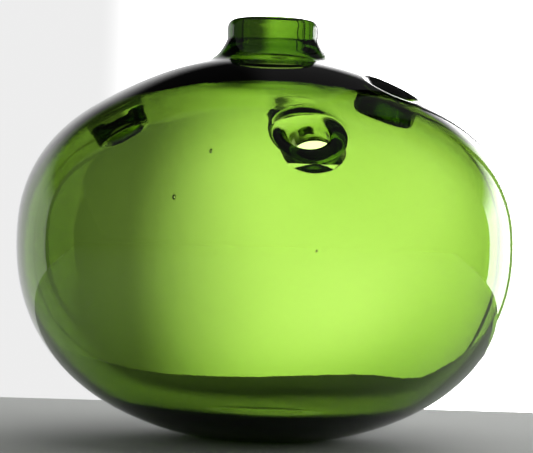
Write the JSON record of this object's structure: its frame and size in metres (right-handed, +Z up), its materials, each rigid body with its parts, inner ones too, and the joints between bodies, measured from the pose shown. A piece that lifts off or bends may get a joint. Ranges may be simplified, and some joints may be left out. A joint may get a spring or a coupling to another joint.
{
  "type": "bud vase",
  "caption": "Low round blown-glass bud vase with a short central neck and flared stem holes punched down through the shoulder.",
  "frame": {"origin": "centre of the flat foot that the vase stands on", "axes": "+Z up along the axis of the body and neck; -Y towards the side whose stem hole is nearest to straight ahead (9 degrees towards +X)"},
  "size_m": [0.16, 0.16, 0.1335],
  "materials": {
    "green_glass": "clear bright green, fire-polished gloss",
    "thick_green_glass": "clear deep green where the glass is thick, fire-polished gloss"
  },
  "bodies": {
    "root": {"base": "thick_green_glass", "bowl": "green_glass", "belly": "green_glass", "shoulder": "green_glass", "neck": "green_glass", "lip_ring": "thick_green_glass", "stem_hole_front": "green_glass", "stem_hole_right": "green_glass", "stem_hole_back": "green_glass", "stem_hole_left": "green_glass"}
  },
  "joints": []
}
